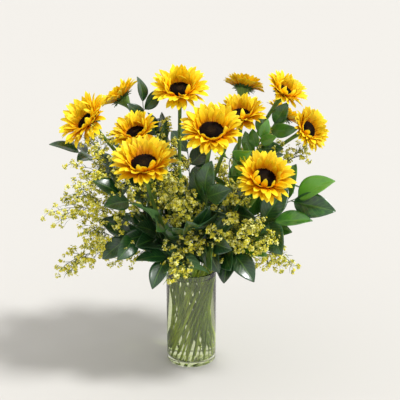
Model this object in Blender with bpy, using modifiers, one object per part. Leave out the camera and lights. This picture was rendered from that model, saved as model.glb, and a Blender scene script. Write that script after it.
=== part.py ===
"""Twelve sunflowers with leafy branches and yellow filler, standing in a clear glass cylinder.

Metres, +Z up, origin at the centre of the vase's foot, -Y the front. Every stem stands on the
floor of the vase and leans in a spiral, as a hand-tied bunch does, so the stems of one ring are
the straight rulings of a waisted surface and never cross.
"""

import math
from dataclasses import dataclass

import bmesh
import bpy
from mathutils import Matrix, Vector

GAP = 0.0003  # between pieces that touch

# Vase: a thick-walled cylinder with a heavy floor.
VASE_RADIUS = 0.051
VASE_HEIGHT = 0.200
VASE_WALL = 0.0035
VASE_FLOOR = 0.012
VASE_HEEL = 0.006  # radius of the rounding between foot and wall
VASE_STEPS = 40

# Height at which the straight, spiralled part of every stem ends, just over the rim.
MOUTH_Z = 0.206
# Reach of the bend's end tangents, as a share of the distance between its ends.
BEND_PULL = 1.1
FLOWER_BEND_STEPS = 7
# Half the stretch of a bend that its direction is measured over.
WAY_STEP = 0.01

SMOOTH_BELOW = math.radians(40)

FLOWER_STEM_RADIUS = 0.004
BRANCH_RADIUS = 0.0015
SPRIG_RADIUS = 0.0011

# Flower heads, as parts of the petal ring's outer radius.
RECEPTACLE_SHARE = 0.40
RING_INNER_SHARE = 0.30
RING_FLAT_SHARE = 0.48
RING_NOTCH_SHARE = 0.88
RING_RISE_SHARE = 0.26
DISC_SHARE = 0.45
DISC_DOME_SHARE = 0.13
PETAL_LOBES = 9
PETAL_THICKNESS = 0.0012
DISC_STEPS = 16
# Of the disc's own radius and height: where its side ends and how far its top is inset.
DISC_SHOULDER_SHARE = 0.86
DISC_SIDE_SHARE = 0.6
DISC_TOP_INSET_SHARE = 0.36

# Distances behind the head at which the stem starts to widen, and its radius there as a share
# of the way from the stem to the receptacle.
FLARE = ((0.028, 0.0), (0.017, 0.22), (0.008, 0.72), (0.002, 1.0), (0.0, 1.0))

# Twigs: steps of the bare stretch over the vase, and the share of the free stem at the top pair.
BARE_STEPS = 3
TOP_PAIR_SHARE = 0.92
SLANT = math.radians(50)  # between a twig and what grows from its side
DROOP = 0.15  # sag of a leaf's tip as a share of its length

LEAF_THICKNESS = 0.0012
# Along a leaf: how far from its foot, and how wide there, as shares of its length and width.
LEAF_OUTLINE = ((0.14, 0.10), (0.42, 1.0), (0.74, 0.78), (1.0, 0.06))
# Along a blossom shoot: the same, as shares of its length and of its cluster's width.
SHOOT_OUTLINE = ((0.30, 0.12), (0.55, 1.0), (0.86, 0.85), (1.0, 0.20))


@dataclass(frozen=True)
class Ring:
    """Where a ring of stems meets the floor and the mouth of the vase."""

    foot_radius: float
    mouth_radius: float
    twist: float  # degrees from foot to mouth
    first: float  # degrees, mouth angle of the first stem
    count: int


@dataclass(frozen=True)
class Head:
    """One sunflower: where its head is, how it faces and how wide its petals are."""

    centre: tuple
    tilt: float  # degrees from straight up
    heading: float  # degrees, the way it leans
    radius: float


@dataclass(frozen=True)
class Twig:
    """One branch or sprig: where its stem ends, how it points there and what grows on it."""

    kind: str
    end: tuple
    tilt: float
    heading: float
    pairs: int  # pairs of leaves or shoots
    length: float  # of a leaf or shoot
    width: float  # of a leaf, or of a cluster of blossom
    start: float = 0.42  # share of the free stem below the first pair


FLOWER_RING = Ring(0.034, 0.037, 120.0, 160.0, 12)
TWIG_RING = Ring(0.042, 0.0445, 100.0, 160.0, 22)

# In order round the vase, from the left by way of the front.
HEADS = (
    Head((-0.194, -0.020, 0.506), 43, -146, 0.048),
    Head((-0.103, -0.036, 0.486), 28, -120, 0.041),
    Head((-0.082, -0.130, 0.447), 30, -97, 0.054),
    Head((0.038, -0.130, 0.506), 34, -84, 0.053),
    Head((0.132, -0.140, 0.423), 40, -78, 0.049),
    Head((0.094, -0.035, 0.519), 22, -95, 0.044),
    Head((0.222, -0.020, 0.490), 62, -48, 0.039),
    Head((0.179, 0.010, 0.557), 36, -38, 0.040),
    Head((0.186, 0.090, 0.496), 38, 21, 0.037),
    Head((0.105, 0.080, 0.555), 27, 60, 0.040),
    Head((-0.021, 0.030, 0.557), 28, -87, 0.050),
    Head((-0.138, 0.075, 0.536), 40, 168, 0.039),
)

TWIGS = (
    Twig("branch", (-0.215, -0.018, 0.444), 75, 188, 4, 0.050, 0.022, 0.47),
    Twig("sprig", (-0.190, -0.060, 0.425), 65, -165, 5, 0.036, 0.014),
    Twig("sprig", (-0.237, -0.065, 0.348), 90, -159, 5, 0.036, 0.014, 0.46),
    Twig("sprig", (-0.225, -0.085, 0.250), 115, -165, 5, 0.034, 0.012),
    Twig("branch", (-0.115, -0.095, 0.300), 110, -140, 4, 0.055, 0.026),
    Twig("branch", (-0.045, -0.110, 0.262), 125, -115, 4, 0.055, 0.026),
    Twig("sprig", (-0.017, -0.123, 0.390), 39, -98, 5, 0.036, 0.014, 0.51),
    Twig("branch", (0.000, -0.125, 0.330), 70, -92, 4, 0.055, 0.026),
    Twig("sprig", (0.088, -0.158, 0.343), 66, -40, 5, 0.036, 0.014, 0.45),
    Twig("branch", (0.080, -0.112, 0.275), 115, -59, 4, 0.058, 0.028),
    Twig("sprig", (0.165, -0.095, 0.262), 105, -28, 5, 0.034, 0.013),
    Twig("branch", (0.156, -0.087, 0.327), 86, -12, 2, 0.068, 0.034, 0.62),
    Twig("branch", (0.203, -0.060, 0.366), 62, -12, 2, 0.070, 0.036, 0.62),
    Twig("branch", (0.162, -0.002, 0.500), 32, -22, 4, 0.048, 0.020, 0.53),
    Twig("sprig", (0.204, 0.006, 0.436), 46, 18, 5, 0.036, 0.014, 0.44),
    Twig("branch", (0.142, 0.123, 0.393), 44, 54, 4, 0.055, 0.026, 0.49),
    Twig("sprig", (0.055, 0.145, 0.370), 60, 70, 5, 0.036, 0.014),
    Twig("branch", (-0.010, 0.140, 0.430), 50, 98, 4, 0.055, 0.026),
    Twig("sprig", (-0.089, 0.150, 0.370), 52, 113, 5, 0.036, 0.014, 0.38),
    Twig("branch", (-0.155, 0.090, 0.370), 80, 150, 4, 0.055, 0.026),
    Twig("branch", (-0.095, 0.042, 0.535), 3, 187, 4, 0.042, 0.018, 0.48),
    Twig("sprig", (-0.044, -0.001, 0.472), 13, 176, 4, 0.032, 0.012, 0.43),
)

# Colour, roughness, metallic and how much light passes through.
GLASS = ((0.86, 0.93, 0.90), 0.03, 0.0, 1.0)
STEM_GREEN = ((0.23, 0.36, 0.10), 0.5, 0.0, 0.0)
PETAL_YELLOW = ((0.95, 0.56, 0.01), 0.45, 0.0, 0.0)
DISC_BROWN = ((0.03, 0.012, 0.006), 0.8, 0.0, 0.0)
LEAF_GREEN = ((0.02, 0.10, 0.03), 0.3, 0.0, 0.0)
FILLER_YELLOW = ((0.55, 0.47, 0.06), 0.6, 0.0, 0.0)


def clear_scene():
    """Take every object out of the file."""
    for item in list(bpy.data.objects):
        bpy.data.objects.remove(item, do_unlink=True)


def material(name, look):
    """A Principled material from a colour, roughness, metallic and transmission."""
    colour, roughness, metallic, transmission = look
    made = bpy.data.materials.new(name)
    made.use_nodes = True
    shader = made.node_tree.nodes["Principled BSDF"]
    shader.inputs["Base Color"].default_value = (*colour, 1.0)
    shader.inputs["Roughness"].default_value = roughness
    shader.inputs["Metallic"].default_value = metallic
    shader.inputs["Transmission Weight"].default_value = transmission
    made.diffuse_color = (*colour, 1.0)
    return made


def add_object(name, data, look, collection):
    """Put mesh or curve data in the collection as an object with its own material."""
    data.materials.append(material(name + "_material", look))
    made = bpy.data.objects.new(name, data)
    collection.objects.link(made)
    return made


def mesh_from(bm, name):
    """Turn a bmesh into smooth-shaded mesh data."""
    bmesh.ops.recalc_face_normals(bm, faces=bm.faces)
    mesh = bpy.data.meshes.new(name)
    bm.to_mesh(mesh)
    bm.free()
    mesh.shade_smooth()
    mesh.set_sharp_from_angle(angle=SMOOTH_BELOW)
    return mesh


def polar(radius, degrees, height):
    """A point from its distance from the axis, its angle and its height."""
    angle = math.radians(degrees)
    return Vector((radius * math.cos(angle), radius * math.sin(angle), height))


def leaning(tilt, heading):
    """The unit vector that leans by tilt from straight up towards heading, in degrees."""
    rise = math.radians(tilt)
    return polar(math.sin(rise), heading, math.cos(rise))


# ---------------------------------------------------------------------------
# Vase


def arc(centre_x, centre_z, radius, start, end, steps):
    """Points of an arc in the profile plane, angles in degrees."""
    points = []
    for step in range(steps + 1):
        angle = math.radians(start + (end - start) * step / steps)
        points.append((centre_x + radius * math.cos(angle), centre_z + radius * math.sin(angle)))
    return points


def vase_profile():
    """Half outline of the glass: over the lip, down the outside, under the foot, up the inside."""
    inner = VASE_RADIUS - VASE_WALL
    lip = VASE_WALL / 2
    points = [(0.0, VASE_FLOOR), (inner - VASE_HEEL, VASE_FLOOR)]
    points += arc(inner - VASE_HEEL, VASE_FLOOR + VASE_HEEL, VASE_HEEL, -90, 0, 2)[1:]
    points += arc(inner + lip, VASE_HEIGHT - lip, lip, 180, 0, 4)
    points += arc(VASE_RADIUS - VASE_HEEL, VASE_HEEL, VASE_HEEL, 0, -90, 3)
    points.append((0.0, 0.0))
    return points


def build_vase(collection):
    """The glass cylinder, turned from its profile."""
    mesh = bpy.data.meshes.new("vase")
    bm = bmesh.new()
    verts = [bm.verts.new((x, 0.0, z)) for x, z in vase_profile()]
    for above, below in zip(verts, verts[1:]):
        bm.edges.new((above, below))
    bm.to_mesh(mesh)
    bm.free()
    vase = add_object("vase", mesh, GLASS, collection)
    turn = vase.modifiers.new("turn", "SCREW")
    turn.axis = "Z"
    turn.steps = VASE_STEPS
    turn.render_steps = VASE_STEPS
    turn.use_merge_vertices = True
    turn.merge_threshold = 0.00001
    turn.use_smooth_shade = True


# ---------------------------------------------------------------------------
# Stem routes


def straight_part(ring, slot, stem_radius):
    """Foot and mouth points of the spiralled, straight stretch of a stem in its slot."""
    mouth_angle = ring.first + slot * 360.0 / ring.count
    foot = polar(ring.foot_radius, mouth_angle - ring.twist, VASE_FLOOR)
    mouth = polar(ring.mouth_radius, mouth_angle, MOUTH_Z)
    lean = (mouth - foot).angle(Vector((0, 0, 1)))
    foot.z += GAP + stem_radius * math.sin(lean)
    return foot, mouth


def free_part(start, start_way, end, end_way, share):
    """A point of the smooth curve from the mouth of the vase to the end of a stem."""
    pull = (end - start).length * BEND_PULL
    s2 = share * share
    s3 = s2 * share
    return (
        start * (2 * s3 - 3 * s2 + 1)
        + start_way * pull * (s3 - 2 * s2 + share)
        + end * (3 * s2 - 2 * s3)
        + end_way * pull * (s3 - s2)
    )


# ---------------------------------------------------------------------------
# Sunflowers


def build_flower_stem(name, head, slot, collection):
    """A stem from the floor of the vase to the head, widening into the receptacle."""
    axis = leaning(head.tilt, head.heading)
    centre = Vector(head.centre)
    neck = centre - axis * FLARE[0][0]
    foot, mouth = straight_part(FLOWER_RING, slot, FLOWER_STEM_RADIUS)
    way = (mouth - foot).normalized()
    shares = [step / FLOWER_BEND_STEPS for step in range(FLOWER_BEND_STEPS)]
    bend = [free_part(mouth, way, neck, axis, share) for share in shares]
    route = [(foot, 1.0)] + [(point, 1.0) for point in bend]
    widest = head.radius * RECEPTACLE_SHARE / FLOWER_STEM_RADIUS
    for back, share in FLARE:
        route.append((centre - axis * back, 1.0 + (widest - 1.0) * share))

    curve = bpy.data.curves.new(name, "CURVE")
    curve.dimensions = "3D"
    curve.bevel_depth = FLOWER_STEM_RADIUS
    curve.bevel_resolution = 2
    curve.use_fill_caps = True
    spline = curve.splines.new("POLY")
    spline.points.add(len(route) - 1)
    for point, (place, width) in zip(spline.points, route):
        point.co = (*place, 1.0)
        point.radius = width
    add_object(name, curve, STEM_GREEN, collection)


def petal_ring_mesh(name, radius):
    """A lobed ring, flat where it is held and rising to its tips, before it has a thickness."""
    bm = bmesh.new()
    steps = PETAL_LOBES * 2
    bmesh.ops.create_circle(bm, segments=steps, radius=radius * RING_INNER_SHARE)
    widen = RING_FLAT_SHARE / RING_INNER_SHARE
    flat = extruded_rim(bm, bm.edges[:])
    bmesh.ops.scale(bm, vec=(widen, widen, 1.0), verts=flat)
    rim = extruded_rim(bm, [edge for edge in bm.edges if edge.is_boundary and edge.verts[0] in flat])
    for vert in rim:
        angle = math.atan2(vert.co.y, vert.co.x)
        lobe = round(angle * steps / math.tau) % 2
        reach = radius * (RING_NOTCH_SHARE if lobe else 1.0)
        vert.co = polar(reach, math.degrees(angle), radius * RING_RISE_SHARE)
    return mesh_from(bm, name)


def extruded_rim(bm, edges):
    """Extrude a loop of edges in place and give the new points."""
    made = bmesh.ops.extrude_edge_only(bm, edges=edges)
    return [item for item in made["geom"] if isinstance(item, bmesh.types.BMVert)]


def place_on_head(item, head, height):
    """Stand an object on a head, its own +Z along the head's axis."""
    axis = leaning(head.tilt, head.heading)
    item.location = Vector(head.centre) + axis * height
    item.rotation_mode = "XYZ"
    item.rotation_euler = (0.0, math.radians(head.tilt), math.radians(head.heading))


def build_petals(name, head, collection):
    """The ring of ray petals, clamped between receptacle and disc."""
    ring = add_object(name, petal_ring_mesh(name, head.radius), PETAL_YELLOW, collection)
    wall = ring.modifiers.new("thickness", "SOLIDIFY")
    wall.thickness = PETAL_THICKNESS
    wall.offset = -1.0
    place_on_head(ring, head, GAP)


def build_disc(name, head, collection):
    """The low dome of florets, lying on the petal ring."""
    radius = head.radius * DISC_SHARE
    shoulder = radius * DISC_SHOULDER_SHARE
    dome = head.radius * DISC_DOME_SHARE
    side = dome * DISC_SIDE_SHARE
    bm = bmesh.new()
    bmesh.ops.create_cone(
        bm, cap_ends=True, segments=DISC_STEPS, radius1=radius, radius2=shoulder, depth=side
    )
    bmesh.ops.translate(bm, vec=(0, 0, side / 2), verts=bm.verts)
    top = max(bm.faces, key=lambda face: face.calc_center_median().z)
    inset = radius * DISC_TOP_INSET_SHARE
    bmesh.ops.inset_individual(bm, faces=[top], thickness=inset, depth=dome - side)
    disc = add_object(name, mesh_from(bm, name), DISC_BROWN, collection)
    place_on_head(disc, head, PETAL_THICKNESS + 2 * GAP)


# ---------------------------------------------------------------------------
# Branches and sprigs


def frame_at(place, way, across):
    """A matrix at a place with +Z along way, and +X as near to across as it can be."""
    upper = way.cross(across).normalized()
    side = upper.cross(way)
    turned = Matrix((side, upper, way)).transposed().to_4x4()
    return Matrix.Translation(place) @ turned


def twig_route(twig, slot, radius):
    """Frames up a twig, each with True where a pair of leaves or shoots grows just below it."""
    foot, mouth = straight_part(TWIG_RING, slot, radius * math.sqrt(2))
    way = (mouth - foot).normalized()
    end = Vector(twig.end)
    end_way = leaning(twig.tilt, twig.heading)
    across = polar(1.0, math.degrees(math.atan2(end.y, end.x)) + 90.0, 0.0)

    shares = [(twig.start * step / BARE_STEPS, False) for step in range(BARE_STEPS)]
    half = radius / (end - mouth).length
    for pair in range(twig.pairs):
        middle = twig.start + (TOP_PAIR_SHARE - twig.start) * pair / (twig.pairs - 1)
        shares += [(middle - half, False), (middle + half, True)]
    shares.append((1.0, False))

    route = [(frame_at(foot, way, across), False)]
    for share, paired in shares:
        place = free_part(mouth, way, end, end_way, share)
        before = free_part(mouth, way, end, end_way, share - WAY_STEP)
        after = free_part(mouth, way, end, end_way, share + WAY_STEP)
        route.append((frame_at(place, (after - before).normalized(), across), paired))
    return route


def corner_sides(face, wide_way, thick_way):
    """For each corner of a face, which side of its middle it lies on, both ways."""
    middle = face.calc_center_median()
    sides = []
    for vert in face.verts:
        offset = vert.co - middle
        sides.append((math.copysign(0.5, offset.dot(wide_way)), math.copysign(0.5, offset.dot(thick_way))))
    return sides


def draw_out(bm, face, sides, centre, wide, thick):
    """Extrude a four-sided face to a new centre, with its full width and depth as vectors."""
    face = bmesh.ops.extrude_discrete_faces(bm, faces=[face])["faces"][0]
    for vert, (along_wide, along_thick) in zip(face.verts, sides):
        vert.co = centre + wide * along_wide + thick * along_thick
    return face


def side_face(cap, way):
    """The face beside a cap that looks the given way."""
    middle = cap.calc_center_median()
    beside = [face for edge in cap.edges for face in edge.link_faces if face is not cap]
    return max(beside, key=lambda face: (face.calc_center_median() - middle).dot(way))


def grow_leaf(bm, face, twig, wide_start, upper, way):
    """Draw a face out into a leaf, or into a shoot that ends in a cluster of blossom."""
    sides = corner_sides(face, wide_start, upper)
    wide = upper.cross(way).normalized()
    if wide.dot(wide_start) < 0:
        wide = -wide
    root = face.calc_center_median()
    leafy = twig.kind == "branch"
    for share, breadth in LEAF_OUTLINE if leafy else SHOOT_OUTLINE:
        centre = root + way * (twig.length * share)
        centre.z -= DROOP * twig.length * share * share
        depth = LEAF_THICKNESS if leafy else twig.width * breadth
        face = draw_out(bm, face, sides, centre, wide * (twig.width * breadth), upper * depth)


def twig_mesh(name, twig, slot, radius):
    """A square twig drawn out along its route, with its leaves or shoots in pairs and one at the tip."""
    route = twig_route(twig, slot, radius)
    first = route[0][0]
    bm = bmesh.new()
    bmesh.ops.create_circle(bm, cap_ends=True, segments=4, radius=radius * math.sqrt(2))
    bmesh.ops.rotate(bm, matrix=Matrix.Rotation(math.radians(45), 3, "Z"), verts=bm.verts)
    bmesh.ops.transform(bm, matrix=first, verts=bm.verts)
    cap = bm.faces[:][0]
    sides = corner_sides(cap, first.col[0].xyz, first.col[1].xyz)
    for frame, paired in route[1:]:
        side, upper, ahead = (frame.col[axis].xyz for axis in range(3))
        cap = draw_out(bm, cap, sides, frame.translation, side * 2 * radius, upper * 2 * radius)
        if not paired:
            continue
        for out in (side, -side):
            way = (ahead * math.cos(SLANT) + out * math.sin(SLANT)).normalized()
            grow_leaf(bm, side_face(cap, out), twig, ahead, upper, way)
    grow_leaf(bm, cap, twig, side, upper, ahead)
    bmesh.ops.holes_fill(bm, edges=[edge for edge in bm.edges if edge.is_boundary])
    return mesh_from(bm, name)


def build_twigs(collection):
    """Every branch and sprig, numbered in its own kind."""
    numbers = {"branch": 0, "sprig": 0}
    looks = {"branch": (BRANCH_RADIUS, LEAF_GREEN), "sprig": (SPRIG_RADIUS, FILLER_YELLOW)}
    for slot, twig in enumerate(TWIGS):
        numbers[twig.kind] += 1
        name = f"{twig.kind}_{numbers[twig.kind]:02d}"
        radius, look = looks[twig.kind]
        add_object(name, twig_mesh(name, twig, slot, radius), look, collection)


def main():
    """Build the vase, the sunflowers and the greenery."""
    clear_scene()
    collection = bpy.data.collections.new("sunflowers_in_a_vase")
    bpy.context.scene.collection.children.link(collection)
    build_vase(collection)
    for slot, head in enumerate(HEADS):
        name = f"sunflower_{slot + 1:02d}"
        build_flower_stem(name + "_stem", head, slot, collection)
        build_petals(name + "_petals", head, collection)
        build_disc(name + "_disc", head, collection)
    build_twigs(collection)


main()
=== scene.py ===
"""Looks for the sunflowers in a vase: glass, water, sunflowers, leafy branches and yellow filler."""

import logging
import math
import random
from collections import defaultdict
from collections.abc import Callable
from dataclasses import dataclass
from enum import Enum
from functools import partial

import bmesh
import bpy
from bmesh.types import BMEdge, BMesh, BMVert
from bpy.types import ID, Material, Mesh, Node, NodeSocket, NodeTree, Object
from mathutils import Matrix, Vector

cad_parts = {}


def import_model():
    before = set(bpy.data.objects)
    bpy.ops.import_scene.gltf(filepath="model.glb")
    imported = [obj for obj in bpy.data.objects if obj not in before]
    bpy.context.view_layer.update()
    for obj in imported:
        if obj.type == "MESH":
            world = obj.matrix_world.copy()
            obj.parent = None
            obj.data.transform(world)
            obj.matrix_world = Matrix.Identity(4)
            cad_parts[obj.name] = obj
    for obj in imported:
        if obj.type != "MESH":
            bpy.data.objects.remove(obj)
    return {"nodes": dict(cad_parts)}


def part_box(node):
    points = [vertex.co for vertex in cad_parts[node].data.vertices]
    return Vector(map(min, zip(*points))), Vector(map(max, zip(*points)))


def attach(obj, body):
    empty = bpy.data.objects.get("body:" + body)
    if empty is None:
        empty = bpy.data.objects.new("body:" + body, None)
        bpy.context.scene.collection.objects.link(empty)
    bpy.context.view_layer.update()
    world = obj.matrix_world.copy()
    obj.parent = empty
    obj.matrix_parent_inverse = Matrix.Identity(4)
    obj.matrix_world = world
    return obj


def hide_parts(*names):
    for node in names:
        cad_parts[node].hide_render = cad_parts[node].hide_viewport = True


LOG = logging.getLogger("sunflowers")
MM = 0.001
GOLDEN_ANGLE = math.radians(137.508)
FRONT = Vector((0.0, -1.0, 0.0))
UP = Vector((0.0, 0.0, 1.0))
SAME_PLACE = 0.00001  # metres within which two corners are one
SUNFLOWERS = 12
SUNFLOWER_SEED, BRANCH_SEED, SPRIG_SEED = 100, 300, 500
AddNode = Callable[..., Node]


# ---------------------------------------------------------------------------
# Nodes and colours


def linear(hex_colour: str) -> tuple[float, float, float, float]:
    """Turn an sRGB hex colour into the linear colour that shaders take.

    Args:
        hex_colour: six hex digits after a hash.

    Returns:
        Linear red, green and blue, with an alpha of one.
    """
    channels = [int(hex_colour[start:start + 2], 16) / 255 for start in (1, 3, 5)]
    flat = [c / 12.92 if c <= 0.04045 else ((c + 0.055) / 1.055) ** 2.4 for c in channels]
    return (*flat, 1.0)


def add_node(
    tree: NodeTree, kind: str, inputs: dict = None, stops: tuple = (), **settings: object
) -> Node:
    """Add a node with its settings and links.

    Args:
        tree: the material's node tree.
        kind: the node's type, without its leading ShaderNode.
        inputs: by socket name or number, a value, an output to link from, or a node for its first output.
        stops: places and hex colours of a colour ramp.
        settings: the node's attributes.

    Returns:
        The new node.
    """
    made = tree.nodes.new("ShaderNode" + kind)
    for name, value in settings.items():
        setattr(made, name, value)
    if stops:
        elements = made.color_ramp.elements
        while len(elements) < len(stops):
            elements.new(0.5)
        for element, (place, colour) in zip(elements, stops):
            element.position = place
            element.color = linear(colour)
    for key, value in (inputs or {}).items():
        if isinstance(value, Node):
            value = value.outputs[0]
        if isinstance(value, NodeSocket):
            tree.links.new(value, made.inputs[key])
        else:
            made.inputs[key].default_value = value
    return made


def mottled(
    add: AddNode, colour: object, place: object, scale: tuple, detail: float, span: tuple
) -> tuple[Node, Node]:
    """Brighten and darken a colour by noise.

    Args:
        add: adds a node to the material.
        colour: the node or output with the colour before.
        place: the node or output with the places that the noise is laid over.
        scale: how fine the noise is along each axis.
        detail: how many finer layers the noise has.
        span: the noise's low and high, and the brightness at each.

    Returns:
        The node with the colour after, and that with the noise.
    """
    spread = add("Mapping", {"Vector": place, "Scale": scale})
    noise = add("TexNoise", {"Vector": spread, "Scale": 1.0, "Detail": detail})
    brightness = add("MapRange", dict(enumerate((noise, *span))))
    return add("HueSaturation", {"Value": brightness, "Color": colour}), noise


# ---------------------------------------------------------------------------
# Finishes


@dataclass(frozen=True)
class Finish:
    """A named look, whose surface each kind of finish wires up in its own way."""

    name: str

    def surface(self, add: AddNode) -> Node:
        """Add the nodes of the surface and return its shader."""
        raise NotImplementedError

    def build(self) -> Material:
        """Make the material."""
        material = bpy.data.materials.new(self.name)
        material.use_nodes = True
        material.node_tree.nodes.clear()
        add = partial(add_node, material.node_tree)
        add("OutputMaterial", {"Surface": self.surface(add)})
        return material


@dataclass(frozen=True)
class PetalFinish(Finish):
    """Fresh ray petal: silky, deep orange at its foot, partly its own colour and partly painted shade inside
    the cupped head, and yellow at its tip, with lengthwise veins.
    """

    name: str = "sunflower_ray_petal"
    # The deep orange foot is partly the petal's own colour and partly painted shade inside the cupped head.
    foot: str = "#E88400"
    lower: str = "#FFB400"
    upper: str = "#FFD80C"
    tip: str = "#FFEE30"
    tone_shift: float = 0.5  # how far the yellow of a light petal moves towards its foot
    tone_span: float = 0.4  # how much brighter the lightest petal is than the darkest
    veins_across: float = 16.0  # a vein every 0.8 mm on a 13 mm petal
    light_through: float = 0.2

    def surface(self, add: AddNode) -> Node:
        """Colours from foot to tip, with veins, a tone of its own and some light from behind."""
        uv = add("UVMap", uv_map="blade")
        along = add("SeparateXYZ", {0: uv}).outputs["Y"]
        tone = add("Attribute", attribute_name="tone").outputs["Fac"]
        yellower = add("Math", {0: tone, 1: self.tone_shift, 2: along}, operation="MULTIPLY_ADD")
        place = add("MapRange", {0: yellower, 2: 1.0 + self.tone_shift})
        stops = ((0.16, self.foot), (0.36, self.lower), (0.58, self.upper), (0.86, self.tip))
        colour = add("ValToRGB", {0: place}, stops)
        scale = (self.veins_across, 1.1, 1.0)
        veined, veins = mottled(add, colour, uv, scale, 2.0, (0.3, 0.7, 0.86, 1.12))
        brightness = add("MapRange", {0: tone, 3: 1.0 - self.tone_span / 2, 4: 1.0 + self.tone_span / 2})
        final = add("HueSaturation", {"Value": brightness, "Color": veined})
        relief = add("Bump", {"Strength": 0.5, "Distance": 0.4 * MM, "Height": veins})
        look = {"Base Color": final, "Roughness": 0.48, "Specular IOR Level": 0.35, "Normal": relief}
        skin = add("BsdfPrincipled", look)
        through = add("BsdfTranslucent", {"Color": final, "Normal": relief})
        return add("MixShader", {0: self.light_through, 1: skin, 2: through})


@dataclass(frozen=True)
class FloretFinish(Finish):
    """Ripe disc florets: matt and nearly black in the middle, red-brown at the rim."""

    name: str = "sunflower_disc_florets"
    middle: str = "#3C2A10"
    ground: str = "#180B05"
    rim: str = "#541608"

    def surface(self, add: AddNode) -> Node:
        """Colours from the middle to the rim, speckled."""
        tone = add("Attribute", attribute_name="tone").outputs["Fac"]
        stops = ((0.0, self.middle), (0.45, self.ground), (0.8, self.ground), (1.0, self.rim))
        colour = add("ValToRGB", {0: tone}, stops)
        place = add("TexCoord").outputs["Object"]
        final, _ = mottled(add, colour, place, (900.0,) * 3, 2.0, (0.35, 0.7, 0.6, 1.7))
        return add("BsdfPrincipled", {"Base Color": final, "Roughness": 0.8, "Specular IOR Level": 0.15})


@dataclass(frozen=True)
class StemFinish(Finish):
    """Fresh stem: matt green with lengthwise ribs, lime to olive where it stands in water, its own green
    brightened there with painted light that comes through the water.
    """

    name: str = "sunflower_stem"
    dry: str = "#6F8F3A"
    # Under the water: the stem's own colour, brightened to lime with painted light that comes through the
    # glass and water.
    lit_underwater: str = "#E6F850"
    lit_underwater_dim: str = "#8BA81C"
    water_level: float = 0.19
    dry_above: float = 0.07  # metres over the water where the dry colour is full
    lit_below: float = 0.05  # metres under it where the lit underwater colour is full
    roughness: float = 0.55

    def surface(self, add: AddNode) -> Node:
        """Dry colour above, lime and olive patches in the water with painted light that comes through it, and
        ribs along it all.
        """
        place = add("TexCoord").outputs["Object"]
        height = add("SeparateXYZ", {0: place}).outputs["Z"]
        edge = {1: self.water_level + self.dry_above, 2: self.water_level - self.lit_below}
        # Under the water the colours are brightened with painted light that comes through the glass and
        # water.
        underwater_light_share = add("MapRange", {0: height, **edge})
        spread = add("Mapping", {"Vector": place, "Scale": (55.0, 55.0, 6.0)})
        cloud = add("TexNoise", {"Vector": spread, "Scale": 1.0, "Detail": 1.0})
        dimming = add("MapRange", {0: cloud, 1: 0.42, 2: 0.62})
        under = add("Mix", {0: dimming, 6: linear(self.lit_underwater), 7: linear(self.lit_underwater_dim)}, data_type="RGBA")
        colour = add("Mix", {0: underwater_light_share, 6: linear(self.dry), 7: under.outputs[2]}, data_type="RGBA")
        scale = (520.0, 520.0, 26.0)
        final, ribs = mottled(add, colour.outputs[2], place, scale, 3.0, (0.35, 0.7, 1.12, 0.68))
        relief = add("Bump", {"Strength": 0.6, "Distance": 0.4 * MM, "Height": ribs})
        return add("BsdfPrincipled", {"Base Color": final, "Roughness": self.roughness, "Normal": relief})


@dataclass(frozen=True)
class LeafFinish(Finish):
    """Leathery leaf: waxy and glossy above, with a pale midrib, or dull and paler below."""

    old: str
    grown: str
    # The lightest green, reached by fresh leaves and by the painted sunlight on the right-hand branches.
    young_and_painted_light: str
    rib: str
    roughness: float
    gloss: float
    relief: float = 0.5
    vein_slant: float = -0.55
    vein_rate: float = 60.0
    vein_paleness: float = 0.42
    patchiness: float = 0.12

    def surface(self, add: AddNode) -> Node:
        """Colours by age, lighter where painted sunlight is added, and in patches, with a midrib and slanting
        veins pressed in.
        """
        split = add("SeparateXYZ", {0: add("UVMap", uv_map="blade")})
        centred = add("Math", {0: split.outputs["X"], 1: 0.5}, operation="SUBTRACT")
        out = add("Math", {0: centred}, operation="ABSOLUTE")
        rib = add("MapRange", {0: out, 1: 0.045, 2: 0.012})
        slanting = {0: out, 1: self.vein_slant, 2: split.outputs["Y"]}
        slant = add("Math", slanting, operation="MULTIPLY_ADD")
        rows = add("Math", {0: slant, 1: self.vein_rate}, operation="MULTIPLY")
        wave = add("Math", {0: rows}, operation="SINE")
        vein = add("MapRange", {0: wave, 1: 0.75, 4: 0.5})
        lines = add("Math", {0: rib, 1: vein}, operation="MAXIMUM")

        place = add("TexCoord").outputs["Object"]
        cloud = add("TexNoise", {"Vector": place, "Scale": 70.0, "Detail": 3.0})
        patch = add("MapRange", {0: cloud, 1: 0.3, 2: 0.7, 3: -self.patchiness, 4: self.patchiness})
        tone = add("Attribute", attribute_name="tone").outputs["Fac"]
        # The leaf's tone holds its age and, on some branches, painted sunlight.
        age_and_painted_light = add("Math", {0: tone, 1: patch}, operation="ADD")
        ground = add("ValToRGB", {0: age_and_painted_light}, ((0.0, self.old), (0.5, self.grown), (1.0, self.young_and_painted_light)))
        faint = add("Math", {0: lines, 1: self.vein_paleness}, operation="MULTIPLY")
        colour = add("Mix", {0: faint, 6: ground, 7: linear(self.rib)}, data_type="RGBA")
        pressed = {"Strength": self.relief, "Distance": 0.35 * MM, "Height": lines}
        look = {
            "Base Color": colour.outputs[2],
            "Roughness": self.roughness,
            "Specular IOR Level": 0.5,
            "Coat Weight": self.gloss,
            "Coat Roughness": 0.24,
            "Normal": add("Bump", pressed, invert=True),
        }
        return add("BsdfPrincipled", look)


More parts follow.
